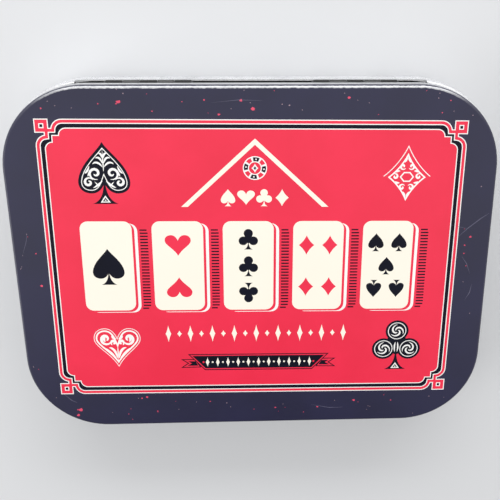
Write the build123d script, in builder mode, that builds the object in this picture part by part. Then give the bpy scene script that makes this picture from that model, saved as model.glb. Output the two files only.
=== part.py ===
"""Travel poker set in a hinged tin, in millimetres.

The tin lies flat. Z is up through the lid, X runs along the long side and the hinge is on the +Y
side. The origin is at the middle of the underside. The chips and the deck set the size of the
tray, the tray sets the size of the tin, and the hinge follows the rear wall of the tin.
"""

from build123d import *
import os

# Playing cards and the folded leaflet under them
CARD_WIDTH = 57.0
CARD_LENGTH = 87.0
CARD_THICKNESS = 0.29
CARD_GAP = 0.01
CARD_CORNER = 3.5
CARDS_PER_SUIT = 13
JOKERS = 2
LEAFLET_MARGIN = 0.5
LEAFLET_SHEET = 0.25
LEAFLET_FOLD_GAP = 0.2

# Chips: a moulded ring, a magnet pressed into it and a paper label over each side of the magnet
CHIP_DIAMETER = 19.0
CHIP_THICKNESS = 2.6
CHIP_GAP = 0.1
CHIP_BORE = 12.0
CHIP_CHAMFER = 0.3
MAGNET_THICKNESS = 1.8
MAGNET_FIT = 0.05
LABEL_THICKNESS = 0.15
INNER_ROW_CHIPS = 30
OUTER_ROW_CHIPS = 20

# Dealer button and the two blind buttons, made as thicker chips that lie flat
BUTTON_DIAMETER = 19.0
DEALER_THICKNESS = 4.0
BLIND_THICKNESS = 2.6

# Formed tray
TRAY_SHEET = 0.6
TRAY_HEIGHT = 15.7
TRAY_EDGE = 8.0
TRAY_MARGIN_X = 2.3
POCKET_CLEARANCE = 0.3
TRAY_FIT = 0.2
LAND_GAP = 0.6
CARD_CLEARANCE = 1.0
CHIP_CLEARANCE = 0.5
ROW_END_CLEARANCE = 0.5
BUTTON_CLEARANCE = 0.5
BUTTON_WELL_DEPTH = 5.6
SCOOP_RADIUS = 7.4
SEAT_GAP = 0.1

# Tin
SHEET = 0.3
CORNER_RADIUS = 27.0
FACE_EDGE_RADIUS = 0.8
BASE_EDGE_RADIUS = 6.5
HEADROOM = 2.7
LID_INSET = 0.8
SKIRT_DEPTH = 5.6
BEAD_PROUD = 0.2
HEM_FOLD = 0.3
HEM_HEIGHT = 1.4
HEM_RADIUS = 0.3
SKIRT_CLEARANCE = 0.3
SHOULDER_GAP = 0.3
SHOULDER_RADIUS = 0.8
RIM_WIDTH = 1.0
RIM_HEIGHT = 1.0
RIM_GAP = 0.3
RIM_RADIUS = 0.25

# Hinge: knuckles curled from the two shells round two wire pins, in a bay pressed into the rear
# wall. The bay spans the straight of the rear wall and runs out round both corners
HINGE_SPACING = 64.0
KNUCKLES = 5
KNUCKLE_LENGTH = 5.0
KNUCKLE_GAP = 0.3
PIN_DIAMETER = 1.2
PIN_CLEARANCE = 0.05
PIN_OVERHANG = 0.5
BARREL_GAP = 0.35
BAY_RUNOUT = 3.2
BAY_GAP = 0.4
BAY_DROP = 1.6

# Tray plan and the leaflet under the deck
leaflet_width = CARD_WIDTH - 2 * LEAFLET_MARGIN
leaflet_length = CARD_LENGTH - 2 * LEAFLET_MARGIN
card_well_width = CARD_WIDTH + 2 * CARD_CLEARANCE
card_well_length = CARD_LENGTH + 2 * CARD_CLEARANCE
trough_radius = CHIP_DIAMETER / 2 + CHIP_CLEARANCE
land = 2 * TRAY_SHEET + LAND_GAP
chip_pitch = CHIP_THICKNESS + CHIP_GAP
inner_trough_length = INNER_ROW_CHIPS * chip_pitch + 2 * ROW_END_CLEARANCE
outer_trough_length = OUTER_ROW_CHIPS * chip_pitch + 2 * ROW_END_CLEARANCE
button_well_radius = BUTTON_DIAMETER / 2 + BUTTON_CLEARANCE
column_width = 2 * max(trough_radius, button_well_radius)
inner_column_x = card_well_width / 2 + land + column_width / 2
outer_column_x = inner_column_x + column_width / 2 + land + trough_radius
tray_length = 2 * (outer_column_x + trough_radius + TRAY_MARGIN_X)
column_length = inner_trough_length + land + 2 * button_well_radius
scooped_length = card_well_length + 2 * SCOOP_RADIUS
neck_inset = LID_INSET + SHEET + HEM_FOLD + SKIRT_CLEARANCE
tray_inset = neck_inset + RIM_WIDTH + TRAY_FIT
tray_margin_y = TRAY_SHEET + BASE_EDGE_RADIUS - tray_inset + POCKET_CLEARANCE
tray_depth = max(column_length, scooped_length) + 2 * tray_margin_y

# Tin plan and heights
barrel_radius = PIN_DIAMETER / 2 + PIN_CLEARANCE + SHEET
bay_depth = 2 * barrel_radius + BAY_GAP
tin_length = tray_length + 2 * tray_inset
tin_depth = tray_depth + 2 * tray_inset + bay_depth - neck_inset
tray_y = (neck_inset - bay_depth) / 2
tray_corner = CORNER_RADIUS - tray_inset
rear_y = tin_depth / 2
trough_z = SHEET + TRAY_SHEET + trough_radius
chip_z = trough_z - CHIP_CLEARANCE + SEAT_GAP
deck_height = (4 * CARDS_PER_SUIT + JOKERS) * (CARD_THICKNESS + CARD_GAP)
leaflet_height = 2 * LEAFLET_SHEET + LEAFLET_FOLD_GAP
leaflet_z = SHEET + TRAY_SHEET + CARD_GAP
deck_z = leaflet_z + leaflet_height + CARD_GAP
tray_top = SHEET + TRAY_HEIGHT
contents_top = max(chip_z + CHIP_DIAMETER / 2, deck_z + deck_height, tray_top)
tin_height = contents_top + HEADROOM + SHEET
skirt_z = tin_height - SKIRT_DEPTH
shoulder_z = skirt_z - SHOULDER_GAP
rim_z = tin_height - SHEET - RIM_GAP

# Tray places along Y, from its front edge
tray_front = tray_y - tray_depth / 2
inner_row_y = tray_front + tray_margin_y + inner_trough_length / 2
button_y = tray_front + tray_margin_y + inner_trough_length + land + button_well_radius
button_floor = tray_top - BUTTON_WELL_DEPTH

# Hinge axis, close under the skirt with the knuckles flush with the rear of the tin
hinge_y = rear_y - barrel_radius
hinge_z = skirt_z - BARREL_GAP - barrel_radius
bay_wall_y = rear_y - bay_depth
bay_length = tin_length - 2 * (CORNER_RADIUS - BAY_RUNOUT)
bay_floor_z = hinge_z - BAY_DROP
knuckle_pitch = KNUCKLE_LENGTH + KNUCKLE_GAP
hinge_centres = {"left": -HINGE_SPACING / 2, "right": HINGE_SPACING / 2}

os.makedirs("parts", exist_ok=True)


def write(part, name):
    """Label a finished piece and write it under its node's name."""
    part.label = name
    export_step(part, f"parts/{name}.step")


def plan(inset, mode=Mode.ADD):
    """Rounded outline of the tin, drawn in by an inset, in the sketch being built."""
    RectangleRounded(tin_length - 2 * inset, tin_depth - 2 * inset, CORNER_RADIUS - inset, mode=mode)


def bay_span(inset, mode=Mode.ADD):
    """Whole rear of the tin over the length of the hinge bay, in the sketch being built."""
    with Locations((0, rear_y)):
        Rectangle(bay_length + 2 * inset, 2 * CORNER_RADIUS, mode=mode)


def neck_plan(inset):
    """Outline of the neck, which steps in along the hinge bay, in the sketch being built."""
    plan(neck_inset + inset)
    bay_span(inset, Mode.SUBTRACT)
    plan(bay_depth + inset)


def knuckle_starts(centre_x, first):
    """X of every second knuckle's left end, from knuckle number first."""
    left = centre_x - (KNUCKLES * knuckle_pitch - KNUCKLE_GAP) / 2
    return [left + n * knuckle_pitch for n in range(first, KNUCKLES, 2)]


def pan_form(inset, floor_z, top_z):
    """Filled form of the base: round-bottomed body, neck under the lid and the hinge bay."""
    with BuildPart() as form:
        with BuildSketch(Plane.XY.offset(floor_z)):
            plan(inset)
        extrude(amount=shoulder_z - inset - floor_z)
        fillet(form.edges().group_by(Axis.Z)[0], BASE_EDGE_RADIUS - inset)
        fillet(form.edges().group_by(Axis.Z)[-1], SHOULDER_RADIUS - inset)
        with BuildSketch(Plane.XY.offset(shoulder_z - inset)):
            plan(neck_inset + inset)
        extrude(amount=top_z - shoulder_z + inset)
        with BuildSketch(Plane.XY.offset(bay_floor_z - inset)):
            bay_span(inset)
            plan(bay_depth + inset, Mode.SUBTRACT)
        extrude(amount=top_z - bay_floor_z + inset, mode=Mode.SUBTRACT)
    return form.part


def cap_form(inset, top_z):
    """Filled form of the lid, from the skirt's lower edge up to its rounded face edge."""
    with BuildPart() as form:
        with BuildSketch(Plane.XY.offset(skirt_z)):
            plan(LID_INSET + inset)
        extrude(amount=top_z - skirt_z)
        fillet(form.edges().group_by(Axis.Z)[-1], FACE_EDGE_RADIUS - inset)
    return form.part


# Base shell: a drawn pan with a necked top, a curled rim and the lanced hinge tongues
base_hollow = pan_form(SHEET, SHEET, rim_z + RIM_GAP)
with BuildPart() as base_shell:
    add(pan_form(0, 0, rim_z))
    add(base_hollow, mode=Mode.SUBTRACT)
    with BuildSketch(Plane.XY.offset(rim_z - RIM_HEIGHT)):
        neck_plan(0)
    extrude(amount=RIM_HEIGHT)
    with BuildSketch(Plane.XY.offset(rim_z - RIM_HEIGHT)):
        neck_plan(RIM_WIDTH)
    extrude(amount=RIM_HEIGHT, mode=Mode.SUBTRACT)
    fillet(base_shell.edges().group_by(Axis.Z)[-1], RIM_RADIUS)
    for centre_x in hinge_centres.values():
        for start_x in knuckle_starts(centre_x, 0):
            with BuildSketch(Plane.YZ.offset(start_x)):
                with Locations((hinge_y, hinge_z)):
                    Circle(barrel_radius)
                web_y = (bay_wall_y - SHEET / 2 + hinge_y) / 2
                with Locations((web_y, hinge_z - barrel_radius + SHEET / 2)):
                    Rectangle(hinge_y - bay_wall_y + SHEET / 2, SHEET)
                with Locations((hinge_y, hinge_z)):
                    Circle(PIN_DIAMETER / 2 + PIN_CLEARANCE, mode=Mode.SUBTRACT)
            extrude(amount=KNUCKLE_LENGTH)
write(base_shell.part, "base_shell")

# Lid shell: a drawn cap with a hemmed skirt, and tongues curled round the pins at the rear
with BuildPart() as lid_shell:
    add(cap_form(0, tin_height))
    add(cap_form(SHEET, tin_height - SHEET), mode=Mode.SUBTRACT)
    with BuildSketch(Plane.XY.offset(skirt_z)):
        plan(LID_INSET - BEAD_PROUD)
    extrude(amount=HEM_HEIGHT)
    with BuildSketch(Plane.XY.offset(skirt_z)):
        plan(LID_INSET + SHEET + HEM_FOLD)
    extrude(amount=HEM_HEIGHT, mode=Mode.SUBTRACT)
    fillet(lid_shell.edges().group_by(Axis.Z)[0], HEM_RADIUS)
    for centre_x in hinge_centres.values():
        for start_x in knuckle_starts(centre_x, 1):
            with BuildSketch(Plane.YZ.offset(start_x)):
                with Locations((hinge_y, hinge_z)):
                    Circle(barrel_radius)
                tongue_top = skirt_z + HEM_HEIGHT / 2
                with Locations((rear_y - LID_INSET - SHEET / 2, (tongue_top + hinge_z) / 2)):
                    Rectangle(SHEET, tongue_top - hinge_z)
                with Locations((hinge_y, hinge_z)):
                    Circle(PIN_DIAMETER / 2 + PIN_CLEARANCE, mode=Mode.SUBTRACT)
            extrude(amount=KNUCKLE_LENGTH)
write(lid_shell.part, "lid_shell")

# Wire pins, one through each hinge
pin_length = KNUCKLES * knuckle_pitch - KNUCKLE_GAP + 2 * PIN_OVERHANG
for side, centre_x in hinge_centres.items():
    with BuildPart() as hinge_pin:
        with BuildSketch(Plane.YZ.offset(centre_x - pin_length / 2)):
            with Locations((hinge_y, hinge_z)):
                Circle(PIN_DIAMETER / 2)
        extrude(amount=pin_length)
    write(hinge_pin.part, f"hinge_pin_{side}")


def card_well_plan(grow):
    """Card well with a finger scoop at each end, grown by a wall, in the sketch being built."""
    with Locations((0, tray_y)):
        RectangleRounded(
            card_well_width + 2 * grow, card_well_length + 2 * grow, CARD_CORNER + CARD_CLEARANCE + grow
        )
    with Locations((0, tray_y - card_well_length / 2), (0, tray_y + card_well_length / 2)):
        Circle(SCOOP_RADIUS + grow)


def pocket_forms(grow):
    """Filled forms of every pocket of the tray, grown by the tray's sheet or not at all."""
    with BuildPart() as forms:
        with BuildSketch(Plane.XY.offset(SHEET + TRAY_SHEET - grow)):
            card_well_plan(grow)
        extrude(amount=TRAY_HEIGHT - TRAY_SHEET + grow)
        with BuildSketch(Plane.XY.offset(button_floor - grow)):
            with Locations((-inner_column_x, button_y), (inner_column_x, button_y)):
                Circle(button_well_radius + grow)
        extrude(amount=BUTTON_WELL_DEPTH + grow)
        rows = (
            (inner_column_x, inner_row_y, inner_trough_length),
            (outer_column_x, tray_y, outer_trough_length),
        )
        for column_x, row_y, length in rows:
            with BuildSketch(Plane.XZ.offset(-row_y - length / 2 - grow)):
                with Locations((-column_x, trough_z), (column_x, trough_z)):
                    Circle(trough_radius + grow)
                with Locations((-column_x, (trough_z + tray_top) / 2), (column_x, (trough_z + tray_top) / 2)):
                    Rectangle(2 * (trough_radius + grow), tray_top - trough_z)
            extrude(amount=length + 2 * grow)
        split(bisect_by=Plane.XY.offset(tray_top), keep=Keep.BOTTOM)
    return forms.part


# Tray: one formed sheet with a turned-down edge and a pocket for each thing that it holds
pocket_hollows = pocket_forms(0)
with BuildPart() as tray:
    with BuildSketch(Plane.XY.offset(tray_top - TRAY_EDGE)):
        with Locations((0, tray_y)):
            RectangleRounded(tray_length, tray_depth, tray_corner)
    extrude(amount=TRAY_EDGE)
    with BuildSketch(Plane.XY.offset(tray_top - TRAY_EDGE)):
        with Locations((0, tray_y)):
            RectangleRounded(
                tray_length - 2 * TRAY_SHEET, tray_depth - 2 * TRAY_SHEET, tray_corner - TRAY_SHEET
            )
    extrude(amount=TRAY_EDGE - TRAY_SHEET, mode=Mode.SUBTRACT)
    add(pocket_forms(TRAY_SHEET))
    add(pocket_hollows, mode=Mode.SUBTRACT)
write(tray.part, "tray")


# Folded rules leaflet under the deck: two leaves joined by a round fold along one long side
fold_radius = leaflet_height / 2
with BuildPart() as rules_leaflet:
    with BuildSketch(Plane.XZ.offset(-tray_y - leaflet_length / 2)):
        with Locations((0, leaflet_z + fold_radius)):
            SlotOverall(leaflet_width, leaflet_height)
            Rectangle(leaflet_width - leaflet_height, LEAFLET_FOLD_GAP, mode=Mode.SUBTRACT)
        with Locations((leaflet_width / 2, leaflet_z + fold_radius)):
            Rectangle(leaflet_height, leaflet_height, mode=Mode.SUBTRACT)
    extrude(amount=leaflet_length)
write(rules_leaflet.part, "rules_leaflet")

# The deck, face down from the bottom: four suits and the jokers, every card a solid of its own
card_pitch = CARD_THICKNESS + CARD_GAP
card_counts = {
    "clubs": CARDS_PER_SUIT,
    "diamonds": CARDS_PER_SUIT,
    "hearts": CARDS_PER_SUIT,
    "spades": CARDS_PER_SUIT,
    "jokers": JOKERS,
}
level = deck_z
for suit, count in card_counts.items():
    with BuildPart() as cards:
        with BuildSketch(*[Plane.XY.offset(level + n * card_pitch) for n in range(count)]):
            with Locations((0, tray_y)):
                RectangleRounded(CARD_WIDTH, CARD_LENGTH, CARD_CORNER)
        extrude(amount=CARD_THICKNESS)
    write(cards.part, f"cards_{suit}")
    level += count * card_pitch


def write_chips(planes, diameter, thickness, names):
    """Rings, magnets and labels of a set of chips, one chip with its near face on each plane."""
    magnet_plane = (thickness - MAGNET_THICKNESS) / 2
    with BuildPart() as rings:
        with BuildSketch(*planes):
            Circle(diameter / 2)
            Circle(CHIP_BORE / 2, mode=Mode.SUBTRACT)
        extrude(amount=thickness)
        rims = rings.edges().filter_by(GeomType.CIRCLE)
        outer_rims = rims.filter_by(lambda edge: edge.radius > CHIP_BORE / 2 + MAGNET_FIT)
        chamfer(outer_rims, CHIP_CHAMFER)
    write(rings.part, names[0])
    with BuildPart() as magnets:
        with BuildSketch(*[plane.offset(magnet_plane) for plane in planes]):
            Circle(CHIP_BORE / 2 - MAGNET_FIT)
        extrude(amount=MAGNET_THICKNESS)
    write(magnets.part, names[1])
    with BuildPart() as labels:
        label_planes = [plane.offset(magnet_plane - LABEL_THICKNESS) for plane in planes]
        label_planes += [plane.offset(magnet_plane + MAGNET_THICKNESS) for plane in planes]
        with BuildSketch(*label_planes):
            Circle(CHIP_BORE / 2 - MAGNET_FIT)
        extrude(amount=LABEL_THICKNESS)
    write(labels.part, names[2])


def chip_planes(column_x, row_y, count):
    """Planes of the chips that stand on edge in one trough, from its front end."""
    first_y = row_y - (count * chip_pitch - CHIP_GAP) / 2
    turned = Plane(origin=(column_x, first_y, chip_z), x_dir=(-1, 0, 0), z_dir=(0, 1, 0))
    return [turned.offset(n * chip_pitch) for n in range(count)]


# Chips on edge in the four troughs, one colour to a trough
chip_rows = {
    "white": (-inner_column_x, inner_row_y, INNER_ROW_CHIPS),
    "red": (inner_column_x, inner_row_y, INNER_ROW_CHIPS),
    "blue": (-outer_column_x, tray_y, OUTER_ROW_CHIPS),
    "black": (outer_column_x, tray_y, OUTER_ROW_CHIPS),
}
for colour, (column_x, row_y, count) in chip_rows.items():
    names = (f"chips_{colour}", f"chip_magnets_{colour}", f"chip_labels_{colour}")
    write_chips(chip_planes(column_x, row_y, count), CHIP_DIAMETER, CHIP_THICKNESS, names)

# Dealer button in the right round well, and the small and big blind buttons stacked in the left one
button_z = button_floor + SEAT_GAP
buttons = {
    "dealer": (inner_column_x, button_z, DEALER_THICKNESS),
    "small_blind": (-inner_column_x, button_z, BLIND_THICKNESS),
    "big_blind": (-inner_column_x, button_z + BLIND_THICKNESS + CHIP_GAP, BLIND_THICKNESS),
}
for role, (column_x, low_z, thickness) in buttons.items():
    names = (f"{role}_button", f"{role}_magnet", f"{role}_labels")
    write_chips([Plane(origin=(column_x, button_y, low_z))], BUTTON_DIAMETER, thickness, names)

print("tin", round(tin_length, 2), round(tin_depth, 2), round(tin_height, 2))
print("tray", round(tray_length, 2), round(tray_depth, 2), "centre y", round(tray_y, 2))
print("hinge axis", round(hinge_y, 3), round(hinge_z, 3), "skirt", round(skirt_z, 2))
print("deck top", round(deck_z + deck_height, 2), "chips top", round(chip_z + CHIP_DIAMETER / 2, 2))
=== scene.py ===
"""Looks of the travel poker set: printed lid, bare tin, tray, chips, cards and buttons."""

import functools
import itertools
import math
import random

import bpy
from mathutils import Matrix, Vector
from mathutils.geometry import delaunay_2d_cdt


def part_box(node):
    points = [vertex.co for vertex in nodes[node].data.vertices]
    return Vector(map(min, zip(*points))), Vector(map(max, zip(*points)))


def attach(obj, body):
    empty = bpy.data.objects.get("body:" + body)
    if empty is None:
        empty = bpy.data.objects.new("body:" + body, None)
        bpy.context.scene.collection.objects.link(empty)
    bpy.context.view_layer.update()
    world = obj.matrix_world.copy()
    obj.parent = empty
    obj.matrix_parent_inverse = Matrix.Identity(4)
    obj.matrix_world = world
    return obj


MM = 0.001

# Colour sockets of a Mix node, which has sockets of the same name for its other kinds of value
COLOUR_A = 6
COLOUR_B = 7
COLOUR_RESULT = 2

scene = bpy.context.scene
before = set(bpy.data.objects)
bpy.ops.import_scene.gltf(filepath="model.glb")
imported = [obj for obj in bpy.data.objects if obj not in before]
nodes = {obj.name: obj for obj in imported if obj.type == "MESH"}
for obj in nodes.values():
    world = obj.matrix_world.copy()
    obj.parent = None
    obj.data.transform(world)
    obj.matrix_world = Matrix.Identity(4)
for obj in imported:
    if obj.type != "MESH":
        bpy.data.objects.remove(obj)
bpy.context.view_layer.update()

lid_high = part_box("lid_shell")[1]
LID_TOP = lid_high[2] / MM

# Camera: turns about X, Y and Z in degrees, the lid's middle as the camera sees it, in millimetres,
# and how far the picture's middle lies off the lens axis, in widths of the picture
CAMERA_TURNS = (19.36, 2.534, -0.202)
CAMERA_SHIFT = (-9.71, -6.43, 238.05)
CAMERA_CROP = (-0.0681, -0.0043)
CAMERA_LENS = 52.2
CAMERA_SENSOR = 36.0

# Colours as the photograph shows them, 0 to 255
NAVY = (28, 27, 60)
NAVY_SHADE = (24, 23, 53)
PRINT_RED = (236, 32, 70)
TINPLATE = (230, 231, 233)
TINPLATE_DULL = (212, 213, 216)
FLOOR = (212, 213, 215)


def linear(colour):
    """Linear RGBA of a display colour of 0 to 255, by the sRGB curve."""
    channels = [value / 255 for value in colour]
    return tuple(c / 12.92 if c <= 0.04045 else ((c + 0.055) / 1.055) ** 2.4 for c in channels) + (1.0,)


class NodeCalls:
    """Short calls for the nodes of one node tree."""

    def __init__(self, tree):
        self.tree = tree
        self.coordinates = self.node("TexCoord", {})

    def join(self, value, socket):
        """Link an output to a socket, or set the socket to a plain value."""
        if isinstance(value, bpy.types.NodeSocket):
            self.tree.links.new(value, socket)
        else:
            socket.default_value = value

    def node(self, kind, inputs, **settings):
        """Outputs of a new node, given its kind, its settings and what joins its inputs."""
        node = self.tree.nodes.new("ShaderNode" + kind)
        for setting, value in settings.items():
            setattr(node, setting, value)
        for socket, value in inputs.items():
            self.join(value, node.inputs[socket])
        return node.outputs

    def math(self, operation, *values, clamp=False):
        return self.node("Math", dict(enumerate(values)), operation=operation, use_clamp=clamp)[0]

    def above(self, value, limit):
        """Mask that is one where a value is over a limit."""
        return self.math("GREATER_THAN", value, limit)

    def under(self, value, limit):
        """Mask that is one where a value is below a limit."""
        return self.math("LESS_THAN", value, limit)

    def minus(self, first, second):
        return self.math("SUBTRACT", first, second)

    def opposite(self, mask):
        return self.minus(1.0, mask)

    def all_of(self, *masks):
        """Product of masks."""
        return functools.reduce(functools.partial(self.math, "MULTIPLY"), masks)

    def any_of(self, *masks):
        """Greatest of masks."""
        return functools.reduce(functools.partial(self.math, "MAXIMUM"), masks)

    def distance(self, x, y):
        """Distance from the origin in a plane."""
        return self.math("SQRT", self.math("ADD", self.math("MULTIPLY", x, x), self.math("MULTIPLY", y, y)))

    def axes(self, vector):
        return tuple(self.node("SeparateXYZ", {0: vector}))

    def span(self, value, low, high, out_low=0.0, out_high=1.0, kind="LINEAR"):
        """Value taken from one range to another and held inside it."""
        inputs = {"Value": value, "From Min": low, "From Max": high, "To Min": out_low, "To Max": out_high}
        return self.node("MapRange", inputs, interpolation_type=kind)["Result"]


class Shader(NodeCalls):
    """A node material around one Principled shader."""

    def __init__(self, name, **constants):
        self.material = bpy.data.materials.new(name)
        self.material.use_nodes = True
        super().__init__(self.material.node_tree)
        self.principled = self.tree.nodes["Principled BSDF"]
        for socket, value in constants.items():
            self.principled.inputs[socket.replace("_", " ")].default_value = value

    def place(self, scale=1.0):
        """Place on the object in millimetres, times a factor, or times one for each axis."""
        factors = scale if isinstance(scale, tuple) else (scale, scale, scale)
        inputs = {0: self.coordinates["Object"], 1: [factor / MM for factor in factors]}
        return self.node("VectorMath", inputs, operation="MULTIPLY")[0]

    def noise(self, scale, detail=3.0, roughness=0.5):
        """Noise over the object at a scale, or at one for each axis."""
        inputs = {"Vector": self.place(scale), "Scale": 1.0, "Detail": detail, "Roughness": roughness}
        return self.node("TexNoise", inputs)["Fac"]

    def mix(self, factor, *colours):
        """Colour between two colours, each a display colour or an output."""
        first, second = (linear(colour) if isinstance(colour, tuple) else colour for colour in colours)
        inputs = {"Factor": factor, COLOUR_A: first, COLOUR_B: second}
        return self.node("Mix", inputs, data_type="RGBA")[COLOUR_RESULT]

    def outline_distance(self, x, y, half_x, half_y, corner):
        """Distance from a rounded rectangle about the origin, below zero inside it."""
        over_x = self.minus(self.math("ABSOLUTE", x), half_x - corner)
        over_y = self.minus(self.math("ABSOLUTE", y), half_y - corner)
        inner = self.math("MINIMUM", self.math("MAXIMUM", over_x, over_y), 0.0)
        reach = self.distance(self.math("MAXIMUM", over_x, 0.0), self.math("MAXIMUM", over_y, 0.0))
        return self.minus(self.math("ADD", reach, inner), corner)

    def to(self, socket, value):
        self.join(value, self.principled.inputs[socket])

    def roughen(self, noise, smooth, rough, high=0.7):
        """Roughness between two values, as a noise goes from 0.3 to a high level."""
        self.to("Roughness", self.span(noise, 0.3, high, smooth, rough))

    def bump(self, height, strength, distance):
        """Bump from a height output, with its distance in millimetres."""
        inputs = {"Strength": strength, "Distance": distance * MM, "Height": height}
        self.to("Normal", self.node("Bump", inputs)["Normal"])


def clouded(shader, scale, colour, shade, spread=(0.35, 0.65), roughness=0.5):
    """Colour that drifts slowly to its shade and back, by a noise at a scale."""
    cloud = shader.noise(scale, detail=4.0, roughness=roughness)
    return shader.mix(shader.span(cloud, *spread), colour, shade)


def rub(shader):
    """Roughness of lacquer that is finely rubbed along the tin's length."""
    shader.roughen(shader.noise((0.3, 2.2, 1.0), detail=6.0, roughness=0.7), 0.28, 0.44, high=0.75)


def node_middle(node_name):
    """Middle of a node's box, in millimetres."""
    return [(low + high) / 2 / MM for low, high in zip(*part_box(node_name))]


def dress(node_name, material):
    """Give a CAD node its material."""
    mesh = nodes[node_name].data
    mesh.materials.clear()
    mesh.materials.append(material)


def new_object(name, data):
    """A new object in the scene."""
    thing = bpy.data.objects.new(name, data)
    scene.collection.objects.link(thing)
    return thing


# Camera, floor and light
turns = zip(CAMERA_TURNS, "XYZ")
about_x, about_y, about_z = (Matrix.Rotation(math.radians(turn), 3, axis) for turn, axis in turns)
to_camera = about_z @ about_x @ about_y
camera = new_object("camera", bpy.data.cameras.new("camera"))
camera.data.lens = CAMERA_LENS
camera.data.sensor_width = CAMERA_SENSOR
camera.data.shift_x, camera.data.shift_y = CAMERA_CROP
camera.data.clip_start = 0.01
shift_x, shift_y, distance = CAMERA_SHIFT
from_lid = to_camera.transposed() @ Vector((-shift_x, -shift_y, distance))
place = (from_lid + Vector((0, 0, LID_TOP))) * MM
camera.matrix_world = Matrix.Translation(place) @ to_camera.transposed().to_4x4()
scene.camera = camera
scene.view_settings.view_transform = "Standard"

FLOOR_SIDE = 6.0
bpy.ops.mesh.primitive_plane_add(size=FLOOR_SIDE)
floor = bpy.context.object
floor.name = "floor"
floor_shader = Shader("floor_paint", Roughness=0.6)
floor_shader.to("Base Color", linear(FLOOR))
floor.data.materials.append(floor_shader.material)


def area_light(name, place, size, power):
    """A soft rectangular lamp at a place in millimetres that points at the origin."""
    lamp = bpy.data.lights.new(name, "AREA")
    lamp.shape = "RECTANGLE"
    lamp.size, lamp.size_y = (side * MM for side in size)
    lamp.energy = power
    lamp_object = new_object(name, lamp)
    lamp_object.location = Vector(place) * MM
    lamp_object.rotation_mode = "QUATERNION"
    lamp_object.rotation_quaternion = (-Vector(place)).to_track_quat("-Z", "Y")


area_light("rear_strip", (60, 760, 420), (1100, 220), 4.9)
area_light("side_lamp", (-780, -160, 520), (500, 500), 1.9)

# Sky that is bright behind the tin and all round the horizon, and dark high over its front.
# The limits are parts of a direction's unit vector, and the levels are strengths.
SKY_DARK_Y = -0.64
SKY_BRIGHT_Y = -0.08
SKY_SIDE = 0.5
SKY_LOW = 0.03
SKY_HIGH = 0.92
HORIZON = 0.92
HORIZON_LOW = 0.2
HORIZON_HIGH = 0.4
world = bpy.data.worlds.new("studio")
scene.world = world
world.use_nodes = True
background = world.node_tree.nodes["Background"]
background.inputs["Color"].default_value = (1.0, 1.0, 1.0, 1.0)
sky = NodeCalls(world.node_tree)
sky_x, sky_y, sky_z = sky.axes(sky.coordinates["Generated"])
sideways = sky.math("MULTIPLY", sky.math("ABSOLUTE", sky_x), SKY_SIDE)
rearward = sky.math("ADD", sky_y, sideways)
dome = sky.span(rearward, SKY_DARK_Y, SKY_BRIGHT_Y, SKY_LOW, SKY_HIGH, "SMOOTHSTEP")
horizon = sky.span(sky_z, HORIZON_LOW, HORIZON_HIGH, HORIZON, 0.0, "SMOOTHSTEP")
sky.join(sky.any_of(dome, horizon), background.inputs["Strength"])


# Outlines are lists of points (x, y), in millimetres unless said otherwise. The limits are for
# slivers, for sharp mitres and for the points that an inset keeps.
SAME_PLACE = 1e-6
LEAST_AREA = 1e-5
LEAST_MITRE = 0.35
LEAST_INSET = 0.9


def bezier(*knots, steps=10):
    """Points of a cubic curve of four knots, without its end point."""
    points = []
    for n in range(steps):
        t = n / steps
        s = 1 - t
        shares = (s ** 3, 3 * s * s * t, 3 * s * t * t, t ** 3)
        points.append(tuple(sum(share * knot[i] for share, knot in zip(shares, knots)) for i in (0, 1)))
    return points


def chain(*curves, steps=10):
    """Points of cubic curves that follow one another, each given by its four points."""
    points = []
    for curve in curves:
        points += bezier(*curve, steps=steps)
    points.append(curves[-1][3])
    return points


def polar(centre, radius, angle):
    """Point at a distance from a centre, in a direction in degrees."""
    angle = math.radians(angle)
    return centre[0] + radius * math.cos(angle), centre[1] + radius * math.sin(angle)


def arc(centre, radius, start, end, steps=8):
    """Points of an arc between two angles in degrees."""
    return [polar(centre, radius, start + (end - start) * n / steps) for n in range(steps + 1)]


def circle(centre, radius, steps=24):
    return arc(centre, radius, 0, 360 - 360 / steps, steps - 1)


def rounded(centre, width, height, radius, steps=6):
    """Rounded rectangle."""
    x, y = centre
    across, up = width / 2 - radius, height / 2 - radius
    points = []
    for sign_x, sign_y, start in ((1, 1, 0), (-1, 1, 90), (-1, -1, 180), (1, -1, 270)):
        points += arc((x + sign_x * across, y + sign_y * up), radius, start, start + 90, steps)
    return points


def box(left, bottom, right, top):
    return [(left, bottom), (right, bottom), (right, top), (left, top)]


def placed(points, centre=(0, 0), width=1.0, height=None, turn=0.0):
    """Outline scaled, turned in degrees and moved."""
    height = width if height is None else height
    cosine, sine = math.cos(math.radians(turn)), math.sin(math.radians(turn))
    moved = []
    for x, y in points:
        x, y = x * width, y * height
        moved.append((centre[0] + x * cosine - y * sine, centre[1] + x * sine + y * cosine))
    return moved


def mirrored(right_half):
    """Closed outline from its right half, from top to bottom."""
    left_half = [(-x, y) for x, y in reversed(right_half) if abs(x) > SAME_PLACE]
    return right_half + left_half


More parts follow.
